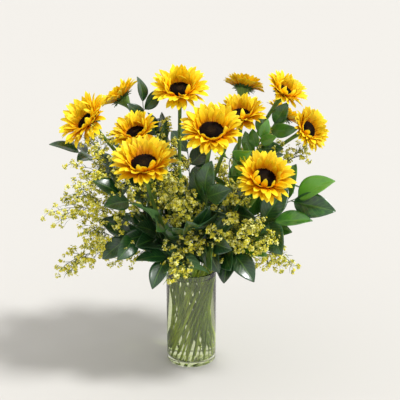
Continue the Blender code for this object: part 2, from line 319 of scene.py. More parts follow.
@dataclass(frozen=True)
class BlossomFinish(Finish):
    """Tiny filler blossom: matt, from olive buds to lemon petals, the palest near white, partly their own
    colour and partly painted highlight.
    """

    name: str = "filler_blossom"
    bud: str = "#8E9A30"
    dark: str = "#E4DC3C"
    middle: str = "#FAEE3C"
    # Near white: partly the blossoms' own pale colour and partly painted highlight.
    light: str = "#FFFFA8"

    def surface(self, add: AddNode) -> Node:
        """A colour for each blossom's tone, the palest partly painted highlight, speckled."""
        tone = add("Attribute", attribute_name="tone").outputs["Fac"]
        stops = ((0.0, self.bud), (0.27, self.dark), (0.6, self.middle), (0.85, self.light))
        colour = add("ValToRGB", {0: tone}, stops)
        place = add("TexCoord").outputs["Object"]
        final, _ = mottled(add, colour, place, (650.0,) * 3, 1.0, (0.3, 0.7, 0.8, 1.1))
        return add("BsdfPrincipled", {"Base Color": final, "Roughness": 0.6})


@dataclass(frozen=True)
class ClearFinish(Finish):
    """Clear glass or water: sight bends in it, while light from the lamps goes straight through."""

    tint: str
    ior: float

    def surface(self, add: AddNode) -> Node:
        """Smooth and clear to the eye, and see-through for light on its way to a lamp."""
        tint = linear(self.tint)
        look = {"Base Color": tint, "Roughness": 0.0, "IOR": self.ior, "Transmission Weight": 1.0}
        body = add("BsdfPrincipled", look)
        clear = add("BsdfTransparent", {"Color": tint})
        return add("MixShader", {0: add("LightPath").outputs["Is Shadow Ray"], 1: body, 2: clear})


@dataclass(frozen=True)
class FloorFinish(Finish):
    """Matt off-white studio floor."""

    name: str = "studio_floor"
    colour: str = "#CFCDC9"

    def surface(self, add: AddNode) -> Node:
        """One even colour."""
        return add("BsdfPrincipled", {"Base Color": linear(self.colour), "Roughness": 0.9})


class Wardrobe:
    """Every finish of the bouquet, made once and shared."""

    def __init__(self) -> None:
        """Make the materials."""
        self.petal = PetalFinish().build()
        self.floret = FloretFinish().build()
        self.stem = StemFinish().build()
        # The second colour of each stem finish is its colour under the water, brightened with painted light.
        self.bract = StemFinish("sunflower_bract", "#4A6C2A", "#4A6C2A", roughness=0.65).build()
        self.twig = StemFinish("leafy_twig", "#3F5A27", "#DCF050", roughness=0.5).build()
        self.sprig = StemFinish("filler_stem", "#566420", "#CCDC48", roughness=0.6).build()
        self.leaf_top = LeafFinish(
            "leaf_upper_side", "#0A2A14", "#184A1E", "#5A9A22", "#6C9A3C", 0.34, 1.0
        ).build()
        self.leaf_back = LeafFinish(
            "leaf_underside", "#2E5C34", "#4C7A3C", "#7CA848", "#8FB070", 0.6, 0.0
        ).build()
        self.needle = LeafFinish(
            "filler_needle", "#2C4A18", "#466428", "#7C9438", "#6C8438", 0.5, 0.0
        ).build()
        self.blossom = BlossomFinish().build()
        self.glass = ClearFinish("soda_lime_glass", "#FBFDFC", 1.5).build()
        self.water = ClearFinish("water", "#F4FACC", 1.33).build()
        self.floor = FloorFinish().build()


# ---------------------------------------------------------------------------
# Shapes


class Outline(Enum):
    """How the half width of a blade runs from its foot, 0, to its tip, 1."""

    RAY = "ray"
    LEAF = "leaf"
    BRACT = "bract"

    def half_width(self, share: float) -> float:
        """The half width at a share of the length, where 1 is the widest."""
        if self is Outline.RAY:
            return max(0.03, min(1.0, 0.45 + 1.2 * share) * (1.0 - share ** 4.6) ** 0.8)
        if self is Outline.LEAF:
            blade = max(0.0, (share - 0.07) / 0.93)
            return max(0.035, math.sin(math.pi * blade ** 0.85) ** 0.85 if blade < 1.0 else 0.0)
        return max(0.02, (1.0 - share) ** 0.8 * min(1.0, 0.7 + 1.2 * share))


@dataclass
class Blade:
    """A petal, leaf or bract: a sheet that leaves its foot along +Y of its frame, upper side +Z."""

    frame: Matrix
    outline: Outline
    length: float
    width: float
    rise: float  # degrees above +Y at the foot
    fall: float  # degrees above +Y at the tip
    fold: float = 0.0  # degrees that each half is turned up from the midrib
    grooves: int = 0
    groove_depth: float = 0.0
    twist: float = 0.0  # degrees from foot to tip
    wave: float = 0.0  # how far the margin waves, as a share of the half width
    phase: float = 0.0
    tone: float = 0.5

    def middle(self, share: float) -> tuple[float, float, float]:
        """Place along +Y, height and slope of the midrib at a share of its length."""
        start = math.radians(self.rise)
        turn = math.radians(self.fall - self.rise)
        slope = start + turn * share
        if abs(turn) < 0.01:
            return self.length * share * math.cos(start), self.length * share * math.sin(start), slope
        along = self.length * (math.sin(slope) - math.sin(start)) / turn
        height = self.length * (math.cos(start) - math.cos(slope)) / turn
        return along, height, slope

    def point(self, out: float, share: float) -> Vector:
        """A point of the sheet, out from the midrib by -1 to 1 at a share of the length."""
        along, height, slope = self.middle(share)
        half = self.outline.half_width(share) * self.width / 2
        lift = abs(out) * half * math.sin(math.radians(self.fold))
        lift += self.groove_depth * math.cos(out * math.pi * self.grooves) * (1.0 - share ** 2)
        lift += self.wave * half * out * out * math.sin(9.0 * share + self.phase + 2.0 * out)
        side = out * half * math.cos(math.radians(self.fold))
        turn = math.radians(self.twist) * share
        level = side * math.cos(turn) - lift * math.sin(turn)
        raised = side * math.sin(turn) + lift * math.cos(turn)
        return Vector((level, along - raised * math.sin(slope), height + raised * math.cos(slope)))

    def add_to(self, bm: BMesh, across: int, along: int) -> None:
        """Lay a grid into the bmesh and bend it into the blade.

        Args:
            bm: what the blade is added to; it has a tone layer and a UV layer.
            across: faces from margin to margin.
            along: faces from foot to tip.
        """
        made = bmesh.ops.create_grid(bm, x_segments=across, y_segments=along, size=1.0, calc_uvs=True)
        tone = bm.verts.layers.float["tone"]
        for vert in made["verts"]:
            vert.co = self.frame @ self.point(vert.co.x, (vert.co.y + 1.0) / 2)
            vert[tone] = self.tone


def new_sheet_bmesh() -> BMesh:
    """A bmesh with the UV and tone layers that blades and blossoms use."""
    bm = bmesh.new()
    bm.loops.layers.uv.new("blade")
    bm.verts.layers.float.new("tone")
    return bm


def frame_from(place: Vector, way: Vector, upper: Vector) -> Matrix:
    """A frame at a place with +Y along way and +Z as near to upper as it can be."""
    side = way.cross(upper).normalized()
    raised = side.cross(way).normalized()
    turned = Matrix((side, way.normalized(), raised)).transposed().to_4x4()
    return Matrix.Translation(place) @ turned


def add_tube(bm: BMesh, route: list[tuple[Vector, float]], sides: int) -> None:
    """Draw a ring of points out along a route and close both its ends.

    Args:
        bm: what the tube is added to.
        route: places and radii from one end to the other.
        sides: points in the ring.
    """
    places = [place for place, _ in route]
    ways = [(after - before).normalized() for before, after in zip(places, places[1:])]
    ways.append(ways[-1])
    turn = ways[0].to_track_quat("Z", "Y")
    ring = bmesh.ops.create_circle(bm, segments=sides, radius=1.0)["verts"]
    edges = list({edge for vert in ring for edge in vert.link_edges})
    first = edges
    before = Matrix.Identity(4)
    last_way = ways[0]
    for number, (place, radius) in enumerate(route):
        if number:
            made = bmesh.ops.extrude_edge_only(bm, edges=edges)["geom"]
            ring = [item for item in made if isinstance(item, BMVert)]
            edges = [item for item in made if isinstance(item, BMEdge)]
            turn = last_way.rotation_difference(ways[number]) @ turn
            last_way = ways[number]
        after = Matrix.Translation(place) @ turn.to_matrix().to_4x4() @ Matrix.Scale(radius, 4)
        bmesh.ops.transform(bm, matrix=after @ before.inverted(), verts=ring)
        before = after
    for loop in (first, edges):
        bmesh.ops.edgeloop_fill(bm, edges=loop)


def stamp(bm: BMesh, shape: Mesh, place: Matrix, tone: float) -> None:
    """Add a copy of a small mesh to a bmesh, in its place and with its own tone."""
    start = len(bm.verts)
    bm.from_mesh(shape)
    bm.verts.ensure_lookup_table()
    fresh = bm.verts[start:]
    bmesh.ops.transform(bm, matrix=place, verts=fresh)
    layer = bm.verts.layers.float["tone"]
    for vert in fresh:
        vert[layer] = tone


def to_mesh(bm: BMesh, name: str) -> Mesh:
    """Turn a bmesh into a new mesh."""
    mesh = bpy.data.meshes.new(name)
    bm.to_mesh(mesh)
    bm.free()
    return mesh


def pour(source: BMesh, target: BMesh) -> None:
    """Move all of a small bmesh into a large one, which is quicker than growing the large one."""
    mesh = to_mesh(source, "poured")
    target.from_mesh(mesh)
    bpy.data.meshes.remove(mesh)


def add_object(name: str, data: ID) -> Object:
    """Add an object for a mesh, lamp or camera to the scene."""
    added = bpy.data.objects.new(name, data)
    bpy.context.scene.collection.objects.link(added)
    return added


def cad_node(name: str) -> Object:
    """The object of a CAD node."""
    return FRAME["nodes"][name]


def finish_piece(
    bm: BMesh,
    name: str,
    materials: list[Material],
    nodes: tuple = (),
    sharp_above: float = 180.0,
) -> Object:
    """Turn a bmesh into a piece of the bouquet that rides on the root.

    Args:
        bm: the finished shape, in its place.
        name: the piece's name.
        materials: its finish, and that of its other side where it has one.
        nodes: the CAD nodes that it stands for.
        sharp_above: edges with a larger angle than this, in degrees, stay sharp.

    Returns:
        The new object.
    """
    mesh = to_mesh(bm, name)
    mesh.shade_smooth()
    if sharp_above < 180.0:
        mesh.set_sharp_from_angle(angle=math.radians(sharp_above))
    for material in materials:
        mesh.materials.append(material)
    piece = add_object(name, mesh)
    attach(piece, "root")
    if nodes:
        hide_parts(*nodes)
    LOG.info("%s: %d faces", name, len(mesh.polygons))
    return piece


def thicken(piece: Object, thickness: float, other_side: bool = False) -> None:
    """Give a sheet its thickness, with the second material on its other side if asked."""
    wall = piece.modifiers.new("thickness", "SOLIDIFY")
    wall.thickness = thickness
    wall.offset = -1.0
    wall.material_offset = wall.material_offset_rim = int(other_side)


def smooth(piece: Object, levels: int) -> None:
    """Round a coarse shape off with a subdivision surface."""
    rounding = piece.modifiers.new("rounding", "SUBSURF")
    rounding.levels = rounding.render_levels = levels


# ---------------------------------------------------------------------------
# Vase and water


@dataclass
class Vase:
    """The glass cylinder and the water in it, sized from the CAD vase's box."""

    wall: float = 0.0035
    floor: float = 0.012
    heel: float = 0.006
    steps: int = 128
    water_top: float = 0.187
    foot_ring: float = 0.004  # width of the ring it stands on
    push_up: float = 0.0015  # how far the foot is hollowed inside that ring
    meniscus: float = 0.0025
    overlap: float = 0.00015  # water reaches this far into the glass, so that no air shows between
    crease: float = 35.0  # degrees above which an edge stays sharp

    def __post_init__(self) -> None:
        """Read the vase's outer radius and height."""
        low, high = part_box("vase")
        self.radius = (high[0] - low[0]) / 2
        self.height = high[2]

    def arc(self, middle: tuple, radius: float, start: float, end: float, steps: int) -> list[tuple]:
        """Points of an arc in the profile plane, angles in degrees."""
        points = []
        for step in range(steps + 1):
            angle = math.radians(start + (end - start) * step / steps)
            points.append((middle[0] + radius * math.cos(angle), middle[1] + radius * math.sin(angle)))
        return points

    def glass_profile(self) -> list[tuple]:
        """Half outline of the glass: up the inside, over the lip, down the outside, under the foot."""
        inner = self.radius - self.wall
        lip = self.wall / 2
        points = [(0.0, self.floor)]
        points += self.arc((inner - self.heel, self.floor + self.heel), self.heel, -90, 0, 8)
        points += self.arc((inner + lip, self.height - lip), lip, 180, 0, 10)
        points += self.arc((self.radius - self.heel, self.heel), self.heel, 0, -90, 8)
        hollow = self.radius - self.heel - self.foot_ring
        points += [(hollow, 0.0), (hollow - 2 * self.push_up, self.push_up), (0.0, self.push_up)]
        return points

    def water_profile(self) -> list[tuple]:
        """Half outline of the water, which climbs a little where it meets the glass."""
        inner = self.radius - self.wall + self.overlap
        climb = self.meniscus
        points = [(0.0, self.water_top)]
        points += self.arc((inner - climb, self.water_top + climb), climb, -90, -20, 6)
        points.append((inner, self.water_top + climb))
        heel = self.heel + self.overlap
        points += self.arc((inner - heel, self.floor - self.overlap + heel), heel, 0, -90, 8)
        points.append((0.0, self.floor - self.overlap))
        return points

    def turn(self, profile: list[tuple]) -> BMesh:
        """Spin a half outline round the vase's axis into a closed body."""
        bm = bmesh.new()
        verts = [bm.verts.new((x, 0.0, z)) for x, z in profile]
        edges = [bm.edges.new(pair) for pair in zip(verts, verts[1:])]
        whole = {"axis": (0, 0, 1), "cent": (0, 0, 0), "angle": math.tau, "use_merge": True}
        bmesh.ops.spin(bm, geom=verts + edges, steps=self.steps, **whole)
        bmesh.ops.remove_doubles(bm, verts=bm.verts, dist=SAME_PLACE)
        bmesh.ops.recalc_face_normals(bm, faces=bm.faces)
        return bm

    def build(self, wardrobe: Wardrobe) -> None:
        """Make the glass and the water."""
        glass = self.turn(self.glass_profile())
        finish_piece(glass, "glass_vase", [wardrobe.glass], ("vase",), self.crease)
        water = self.turn(self.water_profile())
        finish_piece(water, "water", [wardrobe.water], (), self.crease)


# ---------------------------------------------------------------------------
# Sunflowers


@dataclass(frozen=True)
class Whorl:
    """One round of ray petals or bracts, with lengths as shares of the head's radius."""

    count: int
    foot: float
    height: float
    length: float
    width: float
    rise: float
    fall: float


WHORLS = (
    Whorl(28, 0.38, 0.00, 0.82, 0.29, 34, 8),
    Whorl(26, 0.40, 0.02, 0.78, 0.28, 50, 30),
    Whorl(20, 0.43, 0.04, 0.56, 0.25, 66, 72),
)
BACK_AND_UP = Vector((0.0, 0.8, 0.6))


@dataclass(frozen=True)
class Bloom:
    """What sets a head's petals apart: their tone, lifted on some heads as painted light, their length, and
    how far the front ones hang open.
    """

    # Mean tone of the petals; above 0.5 it is partly painted light, brightening heads turned away from the
    # sun.
    lightness_and_painted_light: float = 0.5
    reach: float = 1.0
    sag: float = 8.0  # degrees that the front petals have sunk
    lift: float = 0.45  # of the same angle, for the petals behind, which stand up

    def settle(self, way: Vector) -> float:
        """Degrees that a petal rises or sinks for the way in which it points."""
        back = way.dot(BACK_AND_UP)
        return self.sag * (back * self.lift if back > 0.0 else back)


# By the head's number; the heads left out are plain ones. A lightness above 0.5 is partly painted light that
# brightens heads turned away from the sun.
BLOOMS = {
    1: Bloom(0.8, 1.12, 32),
    2: Bloom(0.6, 1.06, 26),
    3: Bloom(0.5, 0.97),
    4: Bloom(0.55, 0.96),
    6: Bloom(0.5, 1.02, 14),
    8: Bloom(0.7, 1.0, 12),
    10: Bloom(0.5, 0.88, 0),
    11: Bloom(0.75, 1.03, 26),
    12: Bloom(0.8, 1.10, 0),
}
BRACT_WHORLS = (
    Whorl(15, 0.34, -0.05, 0.32, 0.19, 24, 8),
    Whorl(13, 0.31, -0.09, 0.29, 0.18, 4, -20),
)


@dataclass
class Sunflower:
    """One sunflower, placed and sized from its CAD disc and petal ring."""

    number: int
    bloom: Bloom
    floret_count: int = 300
    petal_thickness: float = 0.00035
    petal_faces: tuple = (6, 11)  # across and along
    bract_thickness: float = 0.0006
    bract_faces: tuple = (4, 7)
    fallen: float = 0.15  # share of the petals that hang much further than the rest
    disc_edge: float = 0.97  # where the florets end, as a share of the disc's radius
    core_rings: tuple = (0.92, 0.75, 0.5, 0.25)  # radii of the dome under them, in the same share
    core_tone: float = 0.6
    dome: float = 0.30  # height of the disc
    dip: float = 0.07  # how far its middle is sunk
    rim_lean: float = 62.0  # degrees that the outermost florets lean out

    def __post_init__(self) -> None:
        """Find the head's centre, axis and radii in the CAD meshes."""
        self.name = f"sunflower_{self.number:02d}"
        self.draws = random.Random(SUNFLOWER_SEED + self.number)
        disc = cad_node(self.name + "_disc").data
        area = defaultdict(float)
        corners = defaultdict(set)
        for face in disc.polygons:
            key = tuple(round(part, 2) for part in face.normal)
            area[key] += face.area
            corners[key].update(face.vertices)
        under = max(area, key=area.get)
        rim = [disc.vertices[index].co for index in corners[under]]
        self.centre = sum(rim, Vector()) / len(rim)
        self.axis = -Vector(under).normalized()
        self.disc_radius = max((point - self.centre).length for point in rim)
        petals = cad_node(self.name + "_petals").data
        self.radius = max(self.axis.cross(vert.co - self.centre).length for vert in petals.vertices)
        turn = self.axis.to_track_quat("Z", "Y").to_matrix().to_4x4()
        self.frame = Matrix.Translation(self.centre) @ turn

    def petal_frame(self, angle: float, whorl: Whorl) -> Matrix:
        """A frame at the foot of a petal, with +Y pointing away from the head's axis."""
        spot = Matrix.Translation((0.0, whorl.foot * self.radius, whorl.height * self.radius))
        return self.frame @ Matrix.Rotation(angle, 4, "Z") @ spot

    def build_petals(self, wardrobe: Wardrobe) -> None:
        """Make every ray petal, each with its own length, curl, twist and tone."""
        draws = self.draws
        bloom = self.bloom
        bm = new_sheet_bmesh()
        for order, whorl in enumerate(WHORLS):
            start = draws.uniform(0, math.tau)
            for step in range(whorl.count):
                angle = start + math.tau * (step + draws.uniform(-0.28, 0.28)) / whorl.count
                curl = draws.gauss(0, 12)
                frame = self.petal_frame(angle, whorl)
                settled = bloom.settle(frame.col[1].to_3d())
                Blade(
                    frame=frame,
                    outline=Outline.RAY,
                    length=self.radius * whorl.length * bloom.reach * draws.uniform(0.90, 1.06),
                    width=self.radius * whorl.width * draws.uniform(0.85, 1.15),
                    rise=whorl.rise + settled + draws.gauss(0, 7),
                    fall=whorl.fall + settled + curl + (draws.random() < self.fallen) * draws.uniform(30, 80),
                    fold=draws.uniform(4, 26),
                    grooves=2,
                    groove_depth=0.35 * MM,
                    twist=draws.gauss(0, 16),
                    wave=draws.uniform(0.05, 0.22),
                    phase=draws.uniform(0, math.tau),
                    tone=min(1.0, max(0.0, draws.gauss(bloom.lightness_and_painted_light + 0.08 * order, 0.22))),
                ).add_to(bm, *self.petal_faces)
        cad_petals = (self.name + "_petals",)
        rays = finish_piece(bm, self.name + "_rays", [wardrobe.petal], cad_petals)
        thicken(rays, self.petal_thickness)

    def build_bracts(self, wardrobe: Wardrobe) -> None:
        """Make the green bracts that clasp the head from behind."""
        draws = self.draws
        bm = new_sheet_bmesh()
        for whorl in BRACT_WHORLS:
            for step in range(whorl.count):
                angle = math.tau * (step + draws.uniform(-0.2, 0.2)) / whorl.count
                Blade(
                    frame=self.petal_frame(angle, whorl),
                    outline=Outline.BRACT,
                    length=self.radius * whorl.length * draws.uniform(0.8, 1.2),
                    width=self.radius * whorl.width * draws.uniform(0.9, 1.15),
                    rise=whorl.rise + draws.gauss(0, 8),
                    fall=whorl.fall + draws.gauss(0, 14),
                    fold=draws.uniform(6, 20),
                    twist=draws.gauss(0, 10),
                    tone=draws.random(),
                ).add_to(bm, *self.bract_faces)
        bracts = finish_piece(bm, self.name + "_bracts", [wardrobe.bract])
        thicken(bracts, self.bract_thickness)

    def dome_height(self, share: float) -> float:
        """Height of the disc at a share of its radius: low, with a slight dip in the middle."""
        dome = self.dome * math.sqrt(max(0.0, 1.0 - share ** 2.6))
        return self.disc_radius * (dome - self.dip * (1 - share) ** 2)

    def build_florets(self, wardrobe: Wardrobe, shape: Mesh) -> None:
        """Pack florets over the disc in a spiral, from small in the middle to long at the rim."""
        bm = new_sheet_bmesh()
        edge = self.disc_radius * self.disc_edge
        base = bmesh.ops.create_circle(bm, cap_ends=True, segments=40, radius=edge)
        face = base["verts"][0].link_faces[0]
        for share in self.core_rings:
            face = bmesh.ops.extrude_discrete_faces(bm, faces=[face])["faces"][0]
            for vert in face.verts:
                flat = Vector((vert.co.x, vert.co.y, 0.0)).normalized() * self.disc_radius * share
                vert.co = (flat.x, flat.y, self.dome_height(share) * 0.9)
        bmesh.ops.holes_fill(bm, edges=[edge for edge in bm.edges if edge.is_boundary])
        bmesh.ops.recalc_face_normals(bm, faces=bm.faces)
        tone = bm.verts.layers.float["tone"]
        for vert in bm.verts:
            vert[tone] = self.core_tone
        for index in range(self.floret_count):
            share = math.sqrt((index + 0.5) / self.floret_count)
            angle = index * GOLDEN_ANGLE
            lean = math.radians(self.rim_lean) * share ** 2
            size = self.disc_radius * (0.040 + 0.026 * share) * self.draws.uniform(0.85, 1.15)
            place = (
                Matrix.Rotation(angle, 4, "Z")
                @ Matrix.Translation((share * edge, 0.0, self.dome_height(share) * 0.88))
                @ Matrix.Rotation(lean, 4, "Y")
                @ Matrix.Diagonal((size, size, size * (1.4 + 1.2 * share), 1.0))
            )
            stamp(bm, shape, place, min(1.0, share + self.draws.uniform(-0.08, 0.08)))
        bmesh.ops.transform(bm, matrix=self.frame, verts=bm.verts)
        finish_piece(bm, self.name + "_florets", [wardrobe.floret], (self.name + "_disc",))

    def build_stem(self, wardrobe: Wardrobe) -> None:
        """Round the CAD stem off into a smooth one."""
        bm = bmesh.new()
        bm.from_mesh(cad_node(self.name + "_stem").data)
        bmesh.ops.remove_doubles(bm, verts=bm.verts, dist=SAME_PLACE)
        flat = {"angle_face_threshold": math.radians(30), "angle_shape_threshold": math.pi}
        bmesh.ops.join_triangles(bm, faces=bm.faces, **flat)
        cad_stem = (self.name + "_stem",)
        smooth(finish_piece(bm, self.name + "_stalk", [wardrobe.stem], cad_stem), 2)

    def build(self, wardrobe: Wardrobe, floret: Mesh) -> None:
        """Make all pieces of the sunflower."""
        self.build_stem(wardrobe)
        self.build_bracts(wardrobe)
        self.build_petals(wardrobe)
        self.build_florets(wardrobe, floret)


def floret_shape() -> Mesh:
    """A unit floret: a five-sided tube that opens into five small teeth."""
    bm = new_sheet_bmesh()
    bmesh.ops.create_cone(bm, cap_ends=True, segments=5, radius1=0.75, radius2=1.0, depth=1.6)
    top = max(bm.faces, key=lambda face: face.calc_center_median().z)
    bmesh.ops.inset_individual(bm, faces=[top], thickness=0.45, depth=-0.5)
    return to_mesh(bm, "floret")


# ---------------------------------------------------------------------------
# Branches and sprigs


class Growth(Enum):
    """What grows from a twig."""

    LEAVES = "branch"
    BLOSSOM = "sprig"


@dataclass(frozen=True)
class Fork:
    """A side twig: where it leaves its branch, and where and how it ends."""

    share: float  # of its branch's bend
    end: tuple
    tilt: float
    heading: float
    pairs: int = 3  # of leaves
    size: float = 1.0  # of its leaves


@dataclass(frozen=True)
class TwigPlan:
    """One branch or sprig: where its stem ends, how it points there and what grows on it."""

    growth: Growth
    end: tuple
    tilt: float
    heading: float
    length: float = 0.055  # of a leaf, or of a sprig's side shoot
    width: float = 0.026  # of a leaf
    pairs: int = 4  # of leaves
    start: float = 0.42  # where the leaves or shoots begin, as a share of the bend
    turn: float = 0.0  # degrees that the upper sides of its leaves are turned to the front
    painted_sunlight: float = 0.0  # how much lighter its leaves are painted, standing in for sunlight on the right side of the bouquet
    forks: tuple = ()


L, B = Growth.LEAVES, Growth.BLOSSOM
TWIG_PLANS = (
    TwigPlan(L, (-0.215, -0.018, 0.444), 75, 188, 0.050, 0.022, start=0.47, turn=15),
    TwigPlan(B, (-0.190, -0.060, 0.425), 65, -165, 0.036,
             forks=(Fork(0.62, (-0.172, -0.055, 0.465), 20, 180),)),
    TwigPlan(B, (-0.237, -0.065, 0.348), 90, -159, 0.036, start=0.46,
             forks=(Fork(0.50, (-0.190, -0.095, 0.385), 50, -150),)),
    TwigPlan(B, (-0.225, -0.085, 0.250), 115, -165, 0.034,
             forks=(Fork(0.50, (-0.170, -0.110, 0.315), 80, -150),)),
    TwigPlan(L, (-0.115, -0.095, 0.300), 110, -140, turn=45,
             forks=(Fork(0.35, (-0.130, -0.075, 0.375), 60, -165, 2),)),
    TwigPlan(L, (-0.045, -0.110, 0.262), 125, -115, turn=20,
             forks=(Fork(0.30, (-0.070, -0.110, 0.340), 60, -110),)),
    TwigPlan(B, (-0.017, -0.123, 0.390), 39, -98, 0.036, start=0.51,
             forks=(Fork(0.30, (-0.020, -0.128, 0.265), 120, -100),)),
    TwigPlan(L, (0.000, -0.125, 0.330), 70, -92, turn=55,
             forks=(Fork(0.35, (0.030, -0.100, 0.385), 12, -70),
                    Fork(0.45, (0.045, -0.130, 0.300), 80, -75))),
    TwigPlan(B, (0.088, -0.158, 0.343), 66, -40, 0.036, start=0.45,
             forks=(Fork(0.40, (0.118, -0.125, 0.305), 85, -50),
                    Fork(0.45, (0.085, -0.105, 0.385), 30, -60))),
    TwigPlan(L, (0.080, -0.112, 0.275), 115, -59, 0.058, 0.028, turn=45,
             forks=(Fork(0.35, (0.085, -0.100, 0.350), 50, -60),)),
    TwigPlan(B, (0.165, -0.095, 0.262), 105, -28, 0.034,
             forks=(Fork(0.45, (0.130, -0.110, 0.310), 80, -40),)),
    # These three branches on the right have painted sunlight: their leaves are coloured lighter green where
    # the sun falls.
    TwigPlan(L, (0.156, -0.087, 0.327), 86, -12, 0.068, 0.034, 2, 0.62, turn=50, painted_sunlight=0.38),
    TwigPlan(L, (0.203, -0.060, 0.366), 62, -12, 0.070, 0.036, 2, 0.62, turn=55, painted_sunlight=0.48),
    TwigPlan(L, (0.162, -0.002, 0.500), 32, -22, 0.048, 0.020, start=0.53, turn=60, painted_sunlight=0.5,
             forks=(Fork(0.45, (0.132, -0.055, 0.480), 20, -40, 4, 0.75),
                    Fork(0.40, (0.080, -0.105, 0.458), 70, -60, 2))),
    TwigPlan(B, (0.204, 0.006, 0.436), 46, 18, 0.036, start=0.44,
             forks=(Fork(0.50, (0.150, 0.000, 0.455), 15, 0),)),
    TwigPlan(L, (0.142, 0.123, 0.393), 44, 54, start=0.49,
             forks=(Fork(0.45, (0.170, 0.060, 0.350), 70, 20),)),
    TwigPlan(B, (0.055, 0.145, 0.370), 60, 70, 0.036,
             forks=(Fork(0.40, (0.100, 0.110, 0.400), 45, 50),)),
    TwigPlan(L, (-0.010, 0.140, 0.430), 50, 98,
             forks=(Fork(0.40, (0.040, 0.120, 0.330), 80, 70),
                    Fork(0.45, (-0.060, 0.120, 0.330), 85, 115))),
    TwigPlan(B, (-0.089, 0.150, 0.370), 52, 113, 0.036, start=0.38,
             forks=(Fork(0.45, (-0.060, 0.100, 0.430), 25, 110),)),
    TwigPlan(L, (-0.155, 0.090, 0.370), 80, 150,
             forks=(Fork(0.45, (-0.130, 0.040, 0.420), 50, 170),)),
    TwigPlan(L, (-0.095, 0.042, 0.535), 3, 187, 0.042, 0.018, start=0.48, turn=40,
             forks=(Fork(0.50, (-0.070, 0.000, 0.480), 15, 170, 4),)),
    TwigPlan(B, (-0.044, -0.001, 0.472), 13, 176, 0.032, start=0.43,
             forks=(Fork(0.40, (-0.080, -0.020, 0.420), 20, -160),)),
)


def polar(radius: float, degrees: float, height: float) -> Vector:
    """A point from its distance from the axis, its angle and its height."""
    angle = math.radians(degrees)
    return Vector((radius * math.cos(angle), radius * math.sin(angle), height))


def leaning(tilt: float, heading: float) -> Vector:
    """The unit vector that leans by tilt from straight up towards heading, in degrees."""
    return polar(math.sin(math.radians(tilt)), heading, math.cos(math.radians(tilt)))


@dataclass
class Bend:
    """A smooth curve between two places with a direction at each."""

    start: Vector
    start_way: Vector
    end: Vector
    end_way: Vector
    pull: float = 1.1

    def __post_init__(self) -> None:
        """Work out the level direction across the bend."""
        outward = math.degrees(math.atan2(self.end.y, self.end.x))
        self.across = polar(1.0, outward + 90.0, 0.0)

    def at(self, share: float) -> Vector:
        """A point of the bend, from its start, 0, to its end, 1."""
        reach = (self.end - self.start).length * self.pull
        s2 = share * share
        s3 = s2 * share
        return (
            self.start * (2 * s3 - 3 * s2 + 1)
            + self.start_way * reach * (s3 - 2 * s2 + share)
            + self.end * (3 * s2 - 2 * s3)
            + self.end_way * reach * (s3 - s2)
        )

    def ways(self, share: float) -> tuple[Vector, Vector, Vector]:
        """The directions ahead, upper and side at a share of the bend."""
        ahead = (self.at(share + 0.01) - self.at(share - 0.01)).normalized()
        upper = ahead.cross(self.across).normalized()
        return ahead, upper, upper.cross(ahead)

    def route(self, thick: float, thin: float, steps: int) -> list[tuple[Vector, float]]:
        """Places and radii from the start to the end, tapering on the way."""
        shares = [step / steps for step in range(steps + 1)]
        return [(self.at(share), thick + (thin - thick) * share) for share in shares]


@dataclass
class TwigRoute:
    """The way a twig runs: straight through the vase, then in one bend to its end, with its forks."""

    plan: TwigPlan
    slot: int
    slots: int = len(TWIG_PLANS)
    first: float = 160.0  # degrees round the mouth to the first twig
    twist: float = 100.0  # degrees that the twigs turn from foot to mouth
    foot_radius: float = 0.042
    mouth_radius: float = 0.0445
    foot_height: float = 0.0130
    mouth_height: float = 0.206
    top_pair: float = 0.92
    fork_pull: float = 0.8

    def __post_init__(self) -> None:
        """Work out the foot, the bend and the forks."""
        plan = self.plan
        angle = self.first + self.slot * 360.0 / self.slots
        self.foot = polar(self.foot_radius, angle - self.twist, self.foot_height)
        mouth = polar(self.mouth_radius, angle, self.mouth_height)
        way = (mouth - self.foot).normalized()
        self.bend = Bend(mouth, way, Vector(plan.end), leaning(plan.tilt, plan.heading))
        self.forks = []
        for fork in plan.forks:
            ahead, _, _ = self.bend.ways(fork.share)
            end_way = leaning(fork.tilt, fork.heading)
            start = self.bend.at(fork.share)
            self.forks.append((fork, Bend(start, ahead, Vector(fork.end), end_way, self.fork_pull)))

    def pair_shares(self) -> list[float]:
        """Where the pairs grow, as shares of the bend."""
        start = self.plan.start
        gaps = self.plan.pairs - 1
        return [start + (self.top_pair - start) * pair / gaps for pair in range(gaps + 1)]

    def tube_route(self, thick: float, thin: float, steps: int) -> list[tuple[Vector, float]]:
        """Places and radii from the foot to the end, tapering over the bend."""
        middle = self.foot.lerp(self.bend.start, 0.5)
        return [(self.foot, thick), (middle, thick)] + self.bend.route(thick, thin, steps)


